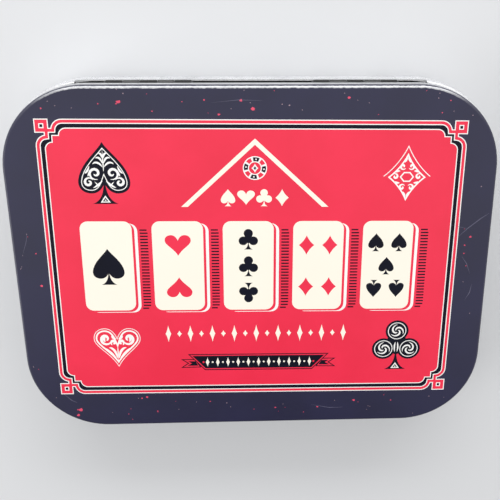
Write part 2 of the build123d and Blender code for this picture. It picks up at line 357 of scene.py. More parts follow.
def stroke(points, width, closed=False):
    """Quads that cover a line at a width, or at widths given for each point, with mitred corners."""
    count = len(points)
    widths = width if isinstance(width, (list, tuple)) else [width] * count
    segments = zip(points, points[1:] + points[:1])
    ways = [Vector((end[0] - start[0], end[1] - start[1])).normalized() for start, end in segments]
    left, right = [], []
    for n, (x, y) in enumerate(points):
        meeting = [ways[n - 1]] if closed or n else []
        if closed or n < count - 1:
            meeting.append(ways[n])
        way = sum(meeting, Vector((0, 0))).normalized()
        across = Vector((-way.y, way.x))
        reach = widths[n] / 2
        if len(meeting) == 2:
            side = Vector((-meeting[0].y, meeting[0].x))
            reach /= max(LEAST_MITRE, across.dot(side))
        left.append((x + across.x * reach, y + across.y * reach))
        right.append((x - across.x * reach, y - across.y * reach))
    quads = []
    for n in range(count if closed else count - 1):
        m = (n + 1) % count
        quads.append([left[n], right[n], right[m], left[m]])
    return quads


# Suit marks, one unit high or wide
SPADE_BODY = mirrored(chain(
    ((0, 0.5), (0.07, 0.36), (0.36, 0.16), (0.406, -0.107)),
    ((0.406, -0.107), (0.43, -0.26), (0.32, -0.33), (0.205, -0.328)),
    ((0.205, -0.328), (0.12, -0.326), (0.04, -0.27), (0, -0.156)),
))
STEM = mirrored(chain(
    ((0, -0.1), (0.012, -0.15), (0.015, -0.2), (0.02, -0.23)),
    ((0.02, -0.23), (0.04, -0.38), (0.1, -0.46), (0.2, -0.5)),
))
HEART = mirrored(chain(
    ((0, 0.19), (0.04, 0.32), (0.13, 0.42), (0.26, 0.42)),
    ((0.26, 0.42), (0.4, 0.42), (0.5, 0.33), (0.5, 0.2)),
    ((0.5, 0.2), (0.5, 0.02), (0.16, -0.12), (0, -0.42)),
))
DIAMOND = mirrored(chain(
    ((0, 0.5), (0.07, 0.33), (0.2, 0.14), (0.38, 0)),
    ((0.38, 0), (0.2, -0.14), (0.07, -0.33), (0, -0.5)),
))
LOBE = 0.213
CLUB_TOP = (0, 0.5 - LOBE)
CLUB_SIDES = ((0.235, -0.075), (-0.235, -0.075))
CLUB_BODY = [circle(centre, LOBE) for centre in (CLUB_TOP,) + CLUB_SIDES]
CLUB_BODY.append([(-0.16, 0.2), (-0.2, -0.1), (0, -0.2), (0.2, -0.1), (0.16, 0.2)])
SUITS = {
    "spade": [SPADE_BODY, STEM],
    "heart": [HEART],
    "diamond": [DIAMOND],
    "club": CLUB_BODY + [STEM],
}


def pip(suit, centre, height, turn=0.0):
    """Outlines of one suit mark of a height."""
    return [placed(outline, centre, height, height, turn) for outline in SUITS[suit]]


def both_sides(curves):
    """Curves and their mirror images."""
    return curves + [[(-x, y) for x, y in curve] for curve in curves]


def scroll(centre, start_radius, end_radius, start, end, steps=16):
    """Spiral between two angles in degrees."""
    points = []
    for n in range(steps + 1):
        t = n / steps
        radius = start_radius + (end_radius - start_radius) * t
        points.append(polar(centre, radius, start + (end - start) * t))
    return points


TIP_SHARE = 0.15
SWELL_POWER = 0.7


def flourish(points, width):
    """A line that swells in its middle and ends in fine tips."""
    last = len(points) - 1
    swells = [math.sin(math.pi * n / last) ** SWELL_POWER for n in range(last + 1)]
    return stroke(points, [width * (TIP_SHARE + swell) for swell in swells])


def drop(tail, head, width):
    """A drop from its pointed tail to its round head, which reaches a little past the head's place."""
    tail, head = Vector(tail), Vector(head)
    along = head - tail
    across = Vector((-along.y, along.x)).normalized() * width
    crown = head + along * 0.25
    neck_middle = tail + along * 0.4
    neck_side = across * 0.3
    side = bezier(tail, neck_middle + neck_side, head + across, crown, steps=8)
    other = bezier(crown, head - across, neck_middle - neck_side, tail, steps=8)
    return side + other


def area_of(outline):
    """Signed area, above zero where the outline runs anticlockwise."""
    twice = 0
    for n, (x, y) in enumerate(outline):
        before_x, before_y = outline[n - 1]
        twice += before_x * y - x * before_y
    return twice / 2


def gap(point, outline):
    """Least distance from a point to a closed outline."""
    distances = []
    for n in range(len(outline)):
        start, end = Vector(outline[n - 1]), Vector(outline[n])
        along, reach = end - start, Vector(point) - start
        share = max(0.0, min(1.0, reach.dot(along) / along.length_squared))
        distances.append((reach - along * share).length)
    return min(distances)


def inset(outline, distance):
    """Outline drawn in by a distance, without the points that crossed over at a sharp tip."""
    side = 0 if area_of(outline) > 0 else 1
    points = [quad[side] for quad in stroke(outline, 2 * distance, closed=True)]
    return [point for point in points if gap(point, outline) > LEAST_INSET * distance]


def as_faces(outline):
    """The outline as anticlockwise faces. A four-sided one is halved, because it may cross itself."""
    parts = [outline]
    if len(outline) == 4:
        parts = [outline[:3], [outline[0], outline[2], outline[3]]]
    parts = [part for part in parts if abs(area_of(part)) > LEAST_AREA]
    return [part if area_of(part) > 0 else part[::-1] for part in parts]


# How the print is cut into triangles: faces inside the outlines only, and points closer than
# this many millimetres joined. Tighter or looser joining lets one ink flood another's place.
FACES_INSIDE = 1
JOIN_DISTANCE = 1e-4
LEAST_TRIANGLE = 1e-9


def flat_print(layers, ink_names, lay):
    """Points of a print, its anticlockwise triangles, their ink slots and the triangle at each edge."""
    coordinates, faces, ink_of_face = [], [], []
    for ink_name, outlines in layers:
        for face in [face for outline in outlines for face in as_faces(outline)]:
            first = len(coordinates)
            coordinates += [lay(point) for point in face]
            faces.append(list(range(first, len(coordinates))))
            ink_of_face.append(ink_names.index(ink_name))
    cut = delaunay_2d_cdt(coordinates, [], faces, FACES_INSIDE, JOIN_DISTANCE, True)
    points, _, triangles, _, _, origins = cut
    kept, slots, face_at_edge = [], [], {}
    for triangle, origin in zip(triangles, origins):
        a, b, c = (points[n] for n in triangle[:3])
        area = (b - a).cross(c - a)
        if abs(area) < LEAST_TRIANGLE or not origin:
            continue
        corners = tuple(triangle) if area > 0 else tuple(reversed(triangle))
        for n, corner in enumerate(corners):
            face_at_edge[(corner, corners[(n + 1) % len(corners)])] = len(kept)
        kept.append(corners)
        slots.append(ink_of_face[max(origin)])
    return points, kept, slots, face_at_edge


def print_mesh(name, layers, inks, top, thickness, body, lay=Vector):
    """Thin closed sheet of ink from layers of (ink name, outlines). Later layers hide earlier ones."""
    ink_names = list(inks)
    points, upper, slots, face_at_edge = flat_print(layers, ink_names, lay)
    count = len(points)
    vertices = [(p.x * MM, p.y * MM, z * MM) for z in (top, top - thickness) for p in points]
    lower = [tuple(n + count for n in reversed(corners)) for corners in upper]
    polygons = upper + lower
    polygon_slots = slots + slots
    for (start, end), face in face_at_edge.items():
        if (end, start) not in face_at_edge:
            polygons.append((end, start, start + count, end + count))
            polygon_slots.append(slots[face])
    mesh = bpy.data.meshes.new(name)
    mesh.from_pydata(vertices, [], polygons)
    for ink_name in ink_names:
        mesh.materials.append(inks[ink_name])
    for polygon, slot in zip(mesh.polygons, polygon_slots):
        polygon.material_index = slot
    mesh.validate()
    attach(new_object(name, mesh), body)


def ink(name, colour, shade, gloss=0.3):
    """Printed and lacquered ink, with slow changes of colour and fine rubbing."""
    shader = Shader(name, Coat_Weight=gloss, Coat_Roughness=0.2, Specular_IOR_Level=0.2 + gloss)
    shader.to("Base Color", clouded(shader, 0.05, colour, shade))
    rub(shader)
    shader.bump(shader.noise(1.6), strength=0.12, distance=0.02)
    return shader.material


# Colour and shade of each ink of the lid and the buttons, and its gloss where that isn't the usual
INK_COLOURS = {
    "white": ((247, 246, 242), (238, 238, 236)),
    "red": (PRINT_RED, (229, 28, 64)),
    "cream": ((246, 240, 225), (245, 239, 224)),
    "navy": (NAVY, NAVY_SHADE),
    "dark": ((8, 11, 30), (6, 8, 24), 0.0),
    "speck": ((232, 76, 108), (214, 58, 92)),
    "fleck": ((178, 150, 158), (150, 128, 140)),
    "scratch": ((104, 102, 124), (84, 82, 104)),
}
INKS = {name: ink(f"ink_{name}", *looks) for name, looks in INK_COLOURS.items()}

# Frame of the print, in millimetres from the middle of the lid: a red band between two white lines,
# with a square at each corner, round a red panel with a white edge
FRAME_CENTRE = (-0.05, 0.97)
FRAME_HALF_LENGTH = 66.73
FRAME_HALF_DEPTH = 47.5
BAND = 1.5
BAND_RED = 0.89
BAND_WHITE = (BAND - BAND_RED) / 2
SQUARE = 4.3
SQUARE_OVERLAP = 0.1
BAND_ARC = SQUARE - BAND
NECK_END = 8.4
PANEL_LINE = 0.31
PANEL_INSET = 2.84
PANEL_ARC = 2.22
PANEL_STEP = 5.1
PANEL_END = 9.4
PRINT_TURN = -0.46


def on_lid(point):
    """Place on the lid of a point of the print, which lies a little turned."""
    return Vector(placed([point], turn=PRINT_TURN)[0])


def from_corner(points, sign_x, sign_y):
    """Points measured inwards from a corner of the frame, as points of the print."""
    corner_x = FRAME_CENTRE[0] + sign_x * FRAME_HALF_LENGTH
    corner_y = FRAME_CENTRE[1] + sign_y * FRAME_HALF_DEPTH
    return [(corner_x - sign_x * u, corner_y - sign_y * v) for u, v in points]


def all_corners(half, *between):
    """Closed line from half of the path round a corner and the points between it and its mirror image."""
    corner_path = half + list(between) + [(y, x) for x, y in reversed(half)]
    line = []
    # The path runs backwards at each second corner
    for sign_x, sign_y in ((-1, 1), (-1, -1), (1, -1), (1, 1)):
        line += from_corner(corner_path, sign_x, sign_y)[::-sign_x * sign_y]
    return line


half_band = BAND / 2
neck = SQUARE - half_band
band_half = arc((NECK_END, neck), BAND_ARC, -90, -180)
band_line = all_corners(band_half, (half_band, neck), (half_band, half_band), (neck, half_band))
dark_line = all_corners(band_half, (neck, neck))
panel_half = arc((PANEL_END, PANEL_INSET + PANEL_ARC), PANEL_ARC, -90, -180)
panel_half.append((PANEL_END - PANEL_ARC, PANEL_STEP))
panel_line = all_corners(panel_half, (PANEL_STEP, PANEL_STEP))


def square_middles(margin):
    """The middles of the four corner squares, at a margin inside each square's outer sides."""
    low = margin - SQUARE_OVERLAP
    middle = box(low, low, SQUARE - low, SQUARE - low)
    return [from_corner(middle, *signs) for signs in itertools.product((-1, 1), repeat=2)]


layers = [
    ("dark", [dark_line]),
    ("white", stroke(band_line, BAND, closed=True)),
    ("red", stroke(band_line, BAND_RED, closed=True)),
    ("red", square_middles(BAND - BAND_WHITE)),
    ("white", square_middles(BAND)),
    ("dark", square_middles(BAND + BAND_WHITE)),
    ("red", [panel_line]),
    ("white", stroke(panel_line, PANEL_LINE, closed=True)),
]

# Pointed line over the emblem, cut level at both ends
ROOF_TOP = (0.24, 42.61)
ROOF_LOW = 20.68
ROOF_HALF = 23.47
ROOF_CUT = 2.1
ROOF_THICK = 1.95
roof_x, roof_y = ROOF_TOP
layers.append(("cream", [[
    (roof_x - ROOF_HALF, ROOF_LOW),
    (roof_x - ROOF_HALF + ROOF_CUT, ROOF_LOW),
    (roof_x, roof_y - ROOF_THICK),
    (roof_x + ROOF_HALF - ROOF_CUT, ROOF_LOW),
    (roof_x + ROOF_HALF, ROOF_LOW),
    (roof_x, roof_y),
]]))


def row(middle, count, pitch):
    """Evenly spaced places about a middle."""
    return [middle + (n - (count - 1) / 2) * pitch for n in range(count)]


def wedge(centre, inner, outer, start, end):
    """Part of a ring between two angles in degrees."""
    return arc(centre, outer, start, end, 4) + arc(centre, inner, end, start, 4)


# Chip emblem: ring of blocks in two colours round a small diamond, with a dot on each dark block
EMBLEM_CENTRE = (0.22, 33.28)
EMBLEM_RADIUS = 3.8
EMBLEM_TURN = 83
BLOCKS = 8
BLOCK_INNER = 2.2
BLOCK_OUTER = 3.46
BLOCK_HALF_ANGLES = {"dark": 18.5, "red": 15}
EMBLEM_DOT = 0.26
EMBLEM_DISC = 1.88
EMBLEM_DIAMOND = 2.9
EMBLEM_CORE = 1.3
blocks = {"dark": [], "red": []}
emblem_dots = []
for n in range(BLOCKS):
    angle = EMBLEM_TURN - 360 / BLOCKS * n
    colour = "dark" if n % 2 == 0 else "red"
    half = BLOCK_HALF_ANGLES[colour]
    blocks[colour].append(wedge(EMBLEM_CENTRE, BLOCK_INNER, BLOCK_OUTER, angle - half, angle + half))
    if colour == "dark":
        spot = polar(EMBLEM_CENTRE, (BLOCK_INNER + BLOCK_OUTER) / 2, angle)
        emblem_dots.append(circle(spot, EMBLEM_DOT, 10))
layers += [
    ("white", [circle(EMBLEM_CENTRE, EMBLEM_RADIUS, 40)]),
    ("red", blocks["red"]),
    ("dark", blocks["dark"]),
    ("white", emblem_dots),
    ("red", [circle(EMBLEM_CENTRE, EMBLEM_DISC, 30)]),
    ("white", pip("diamond", EMBLEM_CENTRE, EMBLEM_DIAMOND)),
    ("navy", pip("diamond", EMBLEM_CENTRE, EMBLEM_CORE)),
]

# Row of four suit marks under the emblem
MARKS_Y = 23.7
MARK_PITCH = 5.72
MARK_HEIGHT = 5.6
for suit, x in zip(("spade", "heart", "club", "diamond"), row(roof_x, 4, MARK_PITCH)):
    layers.append(("cream", pip(suit, (x, MARKS_Y), MARK_HEIGHT)))

# Five playing cards in a row, each with a bevelled edge and a hatched shadow
CARD_PITCH = 22.75
CARD_ROW = (-1.97, 0.42)
CARD_FACE = (16.44, 31.0)
CARD_ROUND = 2.6
BEVEL_RED = (0.8, -0.55)
BEVEL_WHITE = (1.75, -0.75)
HATCH_GAP = 0.75
HATCH_WIDTH = 2.5
HATCH_PITCH = 1.05
HATCH_LINE = 0.46
HATCH_START = 2.2

# Places of the pips on each card, in parts of the spread, and their heights
PIP_SPREAD = (7.6, 14.6)
PIP_PLANS = {
    1: ((0, 0),),
    2: ((0, 0.5), (0, -0.5)),
    3: ((0, 0.64), (0, 0), (0, -0.64)),
    4: ((-0.5, 0.5), (0.5, 0.5), (-0.5, -0.5), (0.5, -0.5)),
    5: ((-0.5, 0.56), (0.5, 0.56), (0, 0), (-0.5, -0.56), (0.5, -0.56)),
}
PIP_HEIGHTS = {1: 12.5, 2: 8.4, 3: 7.0, 4: 6.6, 5: 6.2}


def shadow_edge(y, centre, half_width, half_height, radius):
    """X of the right edge of a rounded rectangle at a height."""
    over = abs(y - centre[1]) - (half_height - radius)
    pull = radius - math.sqrt(max(0.0, radius ** 2 - max(0.0, over) ** 2))
    return centre[0] + half_width - pull


hand = (("spade", 1), ("heart", 2), ("club", 3), ("diamond", 4), ("spade", 5))
width, height = CARD_FACE
for (suit, count), x in zip(hand, row(CARD_ROW[0], len(hand), CARD_PITCH)):
    centre = (x, CARD_ROW[1])
    white_centre = (centre[0] + BEVEL_WHITE[0], centre[1] + BEVEL_WHITE[1])
    shadow_centre = (white_centre[0] + HATCH_GAP + HATCH_WIDTH, white_centre[1])
    bars = []
    y = shadow_centre[1] + height / 2 - HATCH_START
    while y > shadow_centre[1] - height / 2 + HATCH_LINE:
        start = shadow_edge(y, white_centre, width / 2, height / 2, CARD_ROUND) + HATCH_GAP
        end = shadow_edge(y, shadow_centre, width / 2, height / 2 - HATCH_START / 3, CARD_ROUND)
        bars.append(box(start, y - HATCH_LINE / 2, end, y + HATCH_LINE / 2))
        y -= HATCH_PITCH
    red_centre = (centre[0] + BEVEL_RED[0], centre[1] + BEVEL_RED[1])
    colour = "red" if suit in ("heart", "diamond") else "dark"
    pips = []
    for across, up in PIP_PLANS[count]:
        spot = (centre[0] + across * PIP_SPREAD[0], centre[1] + up * PIP_SPREAD[1])
        pips += pip(suit, spot, PIP_HEIGHTS[count], 180 if up < 0 else 0)
    layers += [
        ("dark", bars),
        ("white", [rounded(white_centre, width, height, CARD_ROUND)]),
        ("red", [rounded(red_centre, width, height, CARD_ROUND)]),
        ("cream", [rounded(centre, width, height, CARD_ROUND)]),
        (colour, pips),
    ]

# Divider of upright lozenges under the cards, tall and short ones by turns
DIVIDER_CENTRE = (0.55, -23.83)
DIVIDER_COUNT = 17
DIVIDER_PITCH = 3.7
TALL_LOZENGE = (1.9, 6.2)
SHORT_LOZENGE = (1.6, 2.4)
DIAMOND_WIDTH = 0.76
lozenges = []
for n, x in enumerate(row(DIVIDER_CENTRE[0], DIVIDER_COUNT, DIVIDER_PITCH)):
    width, height = TALL_LOZENGE if n % 2 == 0 else SHORT_LOZENGE
    lozenges.append(placed(DIAMOND, (x, DIVIDER_CENTRE[1]), width / DIAMOND_WIDTH, height))
layers.append(("cream", lozenges))

# Ribbon with swallow tails, and on it a row of lozenges with dots between them
RIBBON_CENTRE = (1.35, -34.67)
RIBBON_HEIGHT = 5.85
RIBBON_HALF_TOP = 23.75
RIBBON_SLOPE = 5.4
RIBBON_EDGE = 0.55
RIBBON_EDGE_PULL = 2.1
RIBBON_LINE = 0.32
RIBBON_LOZENGE = (1.7, 3.6)
RIBBON_DOT = 0.34
RIBBON_END_DOT = 0.36
RIBBON_PITCH = 3.5
RIBBON_MARKS = 11
RIBBON_DOTS_X = 18.9
TAIL = ((21.8, 1.05), (26.1, 1.05), (24.0, -0.4), (26.2, -1.95), (19.9, -1.85))
TAIL_CORE = ((21.6, 0.35), (24.1, 0.35), (22.8, -0.45), (24.4, -1.3), (20.7, -1.3))


def on_ribbon(points):
    """Points measured from the middle of the ribbon, as points of the print."""
    return placed(points, RIBBON_CENTRE)


def ribbon(edge):
    """Outline of the ribbon's middle, drawn in by an edge."""
    half_height = RIBBON_HEIGHT / 2 - edge
    half_top = RIBBON_HALF_TOP - edge * RIBBON_EDGE_PULL
    half_low = half_top - 2 * half_height * RIBBON_SLOPE / RIBBON_HEIGHT
    return on_ribbon([
        (-half_top, half_height),
        (-half_low, -half_height),
        (half_low, -half_height),
        (half_top, half_height),
    ])


tails, tail_cores = [], []
for side in (-1, 1):
    tails += stroke(on_ribbon([(side * x, y) for x, y in TAIL]), RIBBON_LINE, closed=True)
    tail_cores.append(on_ribbon([(side * x, y) for x, y in TAIL_CORE]))
mark_places = row(0, RIBBON_MARKS, RIBBON_PITCH)
dot_places = [x + RIBBON_PITCH / 2 for x in mark_places[:-1]]
end_places = (-RIBBON_DOTS_X, RIBBON_DOTS_X)
layers += [
    ("dark", tails),
    ("dark", tail_cores),
    ("dark", stroke(ribbon(0), RIBBON_LINE, closed=True)),
    ("red", [ribbon(RIBBON_LINE / 2)]),
    ("dark", [ribbon(RIBBON_EDGE)]),
    ("cream", [on_ribbon(placed(DIAMOND, (x, 0), *RIBBON_LOZENGE)) for x in mark_places]),
    ("cream", [on_ribbon(circle((x, 0), RIBBON_DOT, 10)) for x in dot_places]),
    ("red", [on_ribbon(circle((x, 0), RIBBON_END_DOT, 10)) for x in end_places]),
]

# Ornate suits near the corners of the panel: parts of (ink name, outlines), one unit high or wide
STEM_MARK = [
    ("white", [[(0, -0.36), (0.08, -0.478), (-0.08, -0.478)]]),
    ("dark", [[(0, -0.395), (0.045, -0.46), (-0.045, -0.46)]]),
    ("white", [[(0, -0.425), (0.018, -0.45), (-0.018, -0.45)]]),
]


def leaves(lines, width):
    """Outlines of curved leaves along lines and along their mirror images."""
    return [quad for line in both_sides(lines) for quad in flourish(line, width)]


def ornate_spade():
    scrolls = leaves([
        scroll((0.135, 0.0), 0.105, 0.02, -110, 340),
        scroll((0.245, -0.145), 0.08, 0.015, 150, -290),
    ], 0.036)
    sprays = leaves([
        chain(((0.015, 0.1), (0.05, 0.17), (0.12, 0.2), (0.165, 0.15))),
        chain(((0.012, 0.16), (0.03, 0.24), (0.07, 0.27), (0.115, 0.245))),
        chain(((0.008, 0.24), (0.015, 0.3), (0.035, 0.33), (0.065, 0.32))),
        chain(((0.22, 0.12), (0.245, 0.04), (0.265, 0.02), (0.3, 0.0))),
        chain(((0.03, -0.12), (0.07, -0.17), (0.12, -0.21), (0.18, -0.235))),
    ], 0.028)
    seed_places = (((0.155, -0.13), (0.105, -0.19)), ((0.215, 0.06), (0.245, -0.03)))
    seeds = both_sides([drop(tail, head, 0.02) for tail, head in seed_places])
    middle_leaf = [drop((0, 0.4), (0, 0.1), 0.018)]
    return [
        ("dark", [SPADE_BODY, STEM]),
        ("white", [inset(SPADE_BODY, 0.046)]),
        ("dark", [inset(SPADE_BODY, 0.059)]),
        ("white", scrolls + sprays + seeds + middle_leaf),
    ] + STEM_MARK


def ornate_club():
    rings, cores, swirls = [], [], []
    for x, y in (CLUB_TOP,) + CLUB_SIDES:
        rings.append(circle((x, y), LOBE * 0.8, 32))
        cores.append(circle((x, y), LOBE * 0.73, 32))
        sense = -1 if x > 0 else 1
        for turn in (90, 210, 330):
            swirl = scroll((x, y), LOBE * 0.6, LOBE * 0.1, turn, turn + 190 * sense, 12)
            swirls += flourish(swirl, 0.027)
    links = leaves([chain(((0.02, 0.06), (0.03, 0.0), (0.04, -0.06), (0.02, -0.14)))], 0.024)
    return [
        ("dark", CLUB_BODY + [STEM]),
        ("white", rings),
        ("dark", cores),
        ("white", swirls + links),
    ] + STEM_MARK


def ornate_heart():
    scrolls = leaves([
        scroll((0.25, 0.19), 0.135, 0.03, -170, 250),
        scroll((0.085, 0.11), 0.06, 0.012, -60, 300),
    ], 0.055)
    sprays = leaves([
        chain(((0.02, -0.24), (0.03, -0.12), (0.09, 0.0), (0.19, 0.0))),
        chain(((0.04, -0.25), (0.11, -0.17), (0.19, -0.07), (0.3, 0.0))),
        chain(((0.25, 0.24), (0.29, 0.22), (0.3, 0.17), (0.26, 0.13))),
        chain(((0.12, 0.27), (0.1, 0.22), (0.06, 0.2), (0.03, 0.2))),
    ], 0.046)
    return [
        ("white", stroke(HEART, 0.014, closed=True)),
        ("white", [inset(HEART, 0.035)]),
        ("red", [inset(HEART, 0.068)]),
        ("white", scrolls + sprays + [drop((0, -0.32), (0, -0.04), 0.024)]),
    ]


def ornate_diamond():
    body = [(x * 0.86, y * 0.84 - 0.035) for x, y in DIAMOND]
    over = chain(
        ((-0.4, -0.02), (-0.22, 0.12), (-0.08, 0.32), (0, 0.5)),
        ((0, 0.5), (0.08, 0.32), (0.22, 0.12), (0.4, -0.02)),
    )
    scrolls = leaves([
        scroll((0.075, 0.15), 0.055, 0.01, -150, 240),
        scroll((0.075, -0.21), 0.055, 0.01, 150, -240),
        scroll((0.2, -0.02), 0.05, 0.01, 60, 420),
    ], 0.032)
    sprays = leaves([
        chain(((0.01, 0.33), (0.015, 0.28), (0.04, 0.25), (0.05, 0.22))),
        chain(((0.01, -0.4), (0.015, -0.35), (0.04, -0.32), (0.05, -0.29))),
        chain(((0.12, 0.07), (0.15, 0.08), (0.18, 0.07), (0.2, 0.05))),
        chain(((0.12, -0.13), (0.15, -0.14), (0.18, -0.13), (0.2, -0.11))),
    ], 0.03)
    hexagon = [(0.11, -0.03), (0.05, 0.045), (-0.05, 0.045), (-0.11, -0.03), (-0.05, -0.105), (0.05, -0.105)]
    return [
        ("white", stroke(over, 0.014)),
        ("white", [body]),
        ("red", [inset(body, 0.024)]),
        ("white", scrolls + sprays + stroke(hexagon, 0.022, closed=True)),
    ]


# What draws each suit, its middle, its size and its stretch in height
ORNATE_SUITS = (
    (ornate_spade, (-46.8, 31.55), 19.7, 1.0),
    (ornate_diamond, (48.4, 31.05), 18.6, 1.0),
    (ornate_heart, (-46.3, -28.8), 15.4, 1.09),
    (ornate_club, (48.7, -28.8), 18.6, 1.0),
)
for draw, centre, size, stretch in ORNATE_SUITS:
    for ink_name, outlines in draw():
        layers.append((ink_name, [placed(outline, centre, size, size * stretch) for outline in outlines]))

# Splashes of ink on the dark border, drawn by chance. More of them lie along the long sides, and
# most of the small ones are grey flecks.
SPLASHES = 90
SPLASH_SEED = 11
SPLASH_LEAST = 0.16
SPLASH_RANGE = 0.62
SPLASH_POWER = 3.4
SPLASH_CLEAR = 1.5
SPLASH_CORNER = 27
SPLASH_REACH = 25
SHARE_AT_ENDS = 0.35
SHARE_ADDED_ALONG = 0.5
FEWEST_LOBES, MOST_LOBES = 5, 8
SPECK_SIZE = 0.3
SPLASH_ACROSS = (0.5, 1.2)
SPLASH_UP = (0.4, 1.0)
half_length, half_depth = lid_high[0] / MM, lid_high[1] / MM


def on_border(x, y):
    """Whether a place lies on the dark border, clear of the frame and of the lid's round corners."""
    beside = abs(x) >= FRAME_HALF_LENGTH + SPLASH_CLEAR
    beyond = abs(y - FRAME_CENTRE[1]) >= FRAME_HALF_DEPTH + SPLASH_CLEAR
    over_x = max(abs(x) - half_length + SPLASH_CORNER, 0)
    over_y = max(abs(y) - half_depth + SPLASH_CORNER, 0)
    return (beside or beyond) and math.hypot(over_x, over_y) <= SPLASH_REACH


splash = random.Random(SPLASH_SEED)
splashes = {"speck": [], "fleck": []}
while len(splashes["speck"]) + len(splashes["fleck"]) < SPLASHES:
    x = splash.uniform(-half_length, half_length)
    y = splash.uniform(-half_depth, half_depth)
    size = SPLASH_LEAST + SPLASH_RANGE * splash.random() ** SPLASH_POWER
    share = SHARE_AT_ENDS + SHARE_ADDED_ALONG * (abs(y) > FRAME_HALF_DEPTH)
    if not on_border(x, y) or splash.random() > share:
        continue
    lobes = splash.randint(FEWEST_LOBES, MOST_LOBES)
    outline = []
    for n in range(lobes):
        lobe_x = x + size * splash.uniform(*SPLASH_ACROSS) * math.cos(math.tau * n / lobes)
        lobe_y = y + size * splash.uniform(*SPLASH_UP) * math.sin(math.tau * n / lobes)
        outline.append((lobe_x, lobe_y))
    is_speck = size > SPECK_SIZE or lobes == FEWEST_LOBES
    splashes["speck" if is_speck else "fleck"].append(outline)
layers += list(splashes.items())

# Fine scratches on the dark border: places they pass through, and widths
SCRATCHES = (
    (((66.6, 10.3), (69.7, 13.4), (73.4, 16.5), (76.2, 18.5)), 0.24),
    (((64.4, 14.5), (67.3, 13.7), (70.1, 13.1)), 0.12),
    (((68.4, 3.8), (70.4, 1.0), (71.8, -2.5)), 0.16),
    (((-66.7, -45.8), (-63.4, -49.0), (-61.6, -50.0)), 0.18),
    (((70.9, -12.2), (72.4, -9.3), (72.8, -6.3)), 0.14),
    (((-13.0, 53.5), (-4.6, 54.4), (2.6, 54.2)), 0.12),
    (((-74.7, 4.1), (-72.9, 9.2), (-72.4, 12.2)), 0.13),
    (((19.9, -51.9), (26.4, -53.2), (31.0, -53.1)), 0.13),
)
for points, width in SCRATCHES:
    layers.append(("scratch", flourish(points, width)))

# The ink stands a little over the sheet and reaches a little into it
INK_RISE = 0.02
print_mesh("lid_print", layers, INKS, LID_TOP + INK_RISE, thickness=0.1, body="lid", lay=on_lid)


# Bare and painted tinplate
def rolled_grain(shader):
    """Fine lines of rolled sheet, along the tin's length."""
    return shader.noise((0.2, 3.5, 3.5), detail=5.0, roughness=0.65)


def tin_colour(shader):
    return clouded(shader, 0.09, TINPLATE, TINPLATE_DULL, spread=(0.4, 0.7), roughness=0.6)


# Outlines of the lid and the base, and the hinge bay at the rear of the base, in millimetres. The bay,
# the tops of its knuckles and the foot of the lid's hem over it get painted shade. The bay's bright lip,
# where that painted shade stops, is narrower on the knuckles than under them, and widens towards the
# bay's ends.
LID_HALF = (77.5, 58.8)
LID_CORNER = 26.2
BASE_HALF = (78.3, 59.6)
BASE_CORNER = 27.0
SHOULDER = BASE_HALF[1] - LID_HALF[1]
BAY_HALF = 59.0
BAY_TAPER = 9.0
BAY_STRAIGHT = BAY_HALF - BAY_TAPER
BAY_DEPTH = 2.6
BAY_FLOOR = 14.4
BAY_LIP = 0.44
KNUCKLE_LIP = 0.1
KNUCKLE_LOW = 14.9
KNUCKLE_HIGH = 16.2
SKIRT_LOW = 17.4
BAY_FADE = (SKIRT_LOW - 0.3, SKIRT_LOW + 1.0)
HEM_LOW = 18.55
BEAD_TOP = 19.55
SLACK = 0.05
# Colour of the painted shade in the hinge bay, on the base, the lid's knuckles and the hem's foot
BAY_SHADE_COLOUR = (6, 6, 8)
BAY_ROUGHENING = 0.35
BASE_METALLIC = 0.55
LID_METALLIC = 0.75
# How much less metallic the worn line with its painted highlight is
WEAR_HIGHLIGHT_DULLING = 0.4

# Worn line along the rear edge of the face, partly real wear and partly a painted highlight: where it
# comes and goes inside the outline, how deep it reaches, and where it fades towards the corners, in
# parts of the corner's radius
WEAR_HIGHLIGHT_INNER = (-0.95, -0.8)
WEAR_HIGHLIGHT_OUTER = (-0.35, -0.2)
WEAR_HIGHLIGHT_DEPTH = 1.1
WEAR_HIGHLIGHT_FADE = (0.5, 0.05)
WEAR_HIGHLIGHT_STRAIGHT = (0.22, 0.01)


def base_metal():
    """Bare tinplate, dull and with painted shade down in the hinge bay."""
    shader = Shader("bare_tinplate")
    grain = rolled_grain(shader)
    x, y, z = shader.axes(shader.place())
    edge = shader.outline_distance(x, y, *BASE_HALF, BASE_CORNER)
    aside = shader.math("ABSOLUTE", x)
    # Painted shade also covers the tops of the knuckles, which the lid's skirt shades
    barrel_top = shader.all_of(shader.above(z, KNUCKLE_HIGH), shader.under(aside, BAY_STRAIGHT))
    lip = shader.span(z, KNUCKLE_LOW, KNUCKLE_LOW + 0.1, -BAY_LIP, -KNUCKLE_LIP)
    lip = shader.minus(lip, shader.span(aside, BAY_STRAIGHT, BAY_HALF, 0.0, SHOULDER))
    lip = shader.math("ADD", lip, barrel_top)
    # Mask of the painted shade in the bay, where the tin is also less metallic and rougher
    bay = shader.all_of(
        shader.above(edge, -BAY_DEPTH),
        shader.under(edge, lip),
        shader.above(y, 0.0),
        shader.under(aside, BAY_HALF),
        shader.above(z, BAY_FLOOR),
        shader.span(z, *BAY_FADE, 1.0, 0.0),
    )
    shader.to("Base Color", shader.mix(bay, tin_colour(shader), BAY_SHADE_COLOUR))
    shader.to("Metallic", shader.math("MULTIPLY", BASE_METALLIC, shader.opposite(bay)))
    rough = shader.span(grain, 0.3, 0.7, 0.2, 0.36)
    shader.to("Roughness", shader.math("ADD", rough, shader.math("MULTIPLY", bay, BAY_ROUGHENING)))
    shader.bump(grain, strength=0.2, distance=0.02)
    return shader.material


